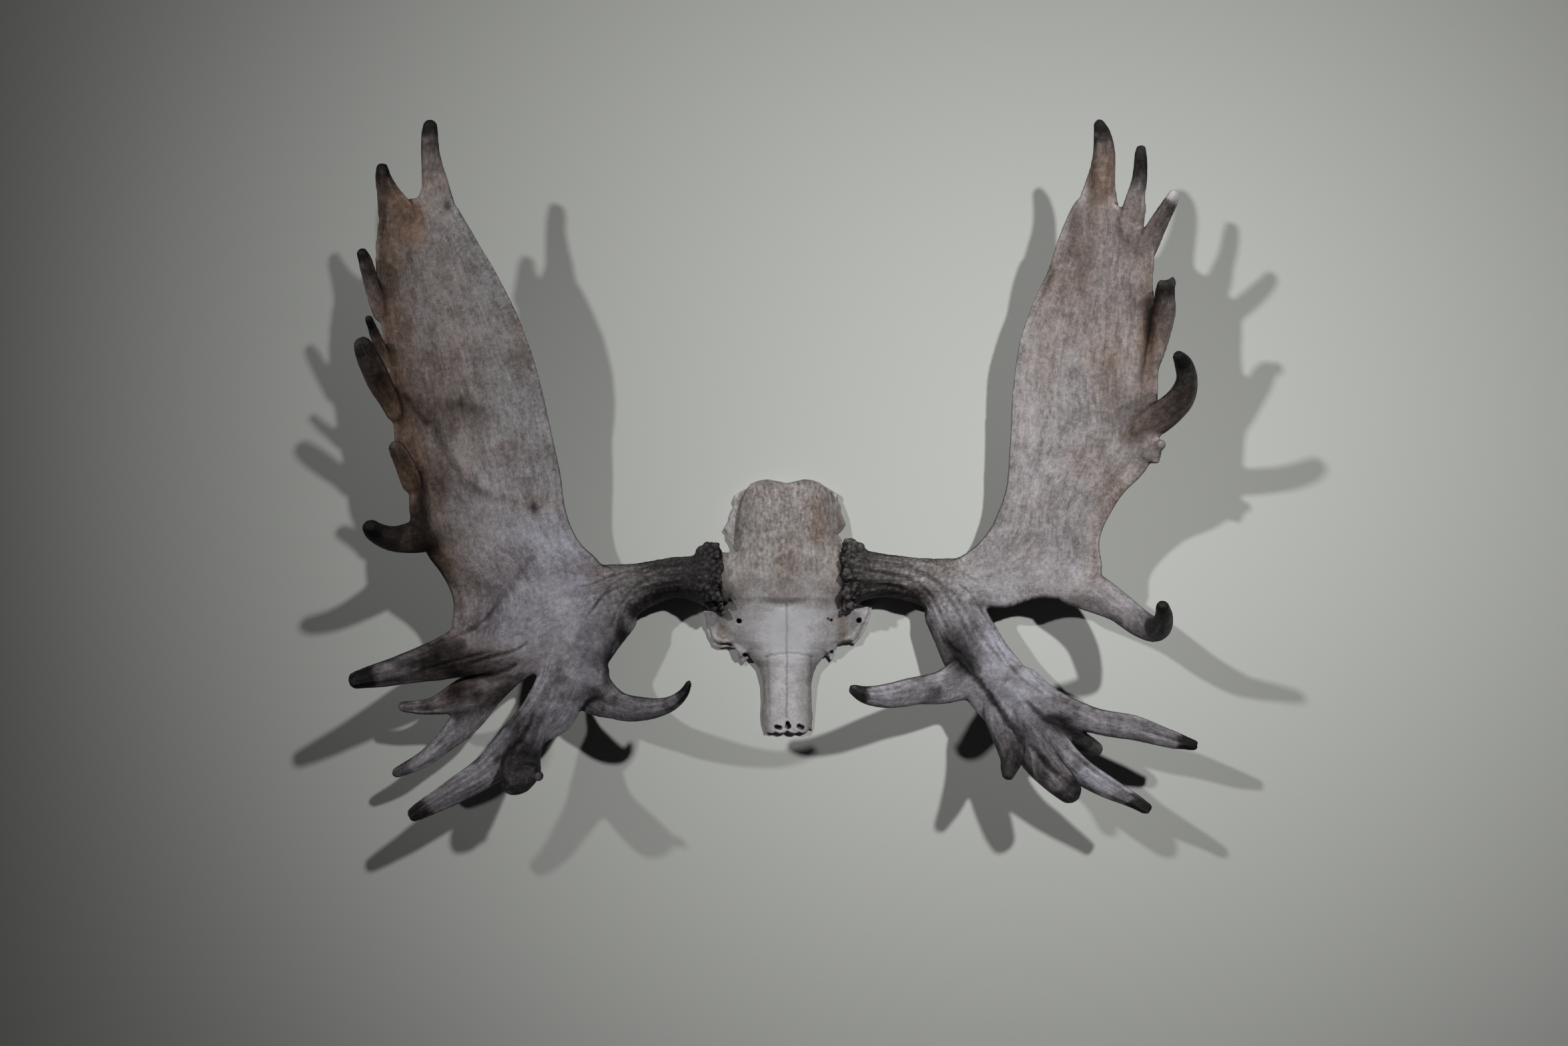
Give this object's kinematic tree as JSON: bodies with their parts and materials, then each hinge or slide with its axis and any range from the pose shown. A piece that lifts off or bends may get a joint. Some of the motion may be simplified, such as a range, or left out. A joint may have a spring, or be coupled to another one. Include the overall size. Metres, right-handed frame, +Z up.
{
  "type": "moose antlers on a skull plate",
  "caption": "Pair of broad palmed moose antlers with long curled tines, grown on a cut skull plate that lies on its flat sawn face.",
  "frame": {"origin": "on the sawn flat face of the skull plate, on the skull's midline between the eye sockets", "axes": "+X across the spread toward the antler on the animal's left side, +Y from the nose up the braincase, +Z up out of the sawn face through the top of the skull"},
  "size_m": [1.0371, 0.8616, 0.2387],
  "materials": {
    "skull_bone": "dry weathered bone, pale cream grey",
    "beam_bone": "dark brown grooved antler",
    "palm_bone": "smooth grey-brown antler with fine grain",
    "brow_bone": "grey antler with darker grooves",
    "tine_bone": "polished grey-brown antler with black tips"
  },
  "bodies": {
    "root": {"skull": "skull_bone", "left_beam": "beam_bone", "left_main_palm": "palm_bone", "left_brow_palm": "brow_bone", "left_brow_fork": "tine_bone", "left_inner_tine": "tine_bone", "right_beam": "beam_bone", "right_main_palm": "palm_bone", "right_lower_tine": "tine_bone", "right_brow_palm": "brow_bone", "right_inner_tine": "tine_bone"}
  },
  "joints": []
}
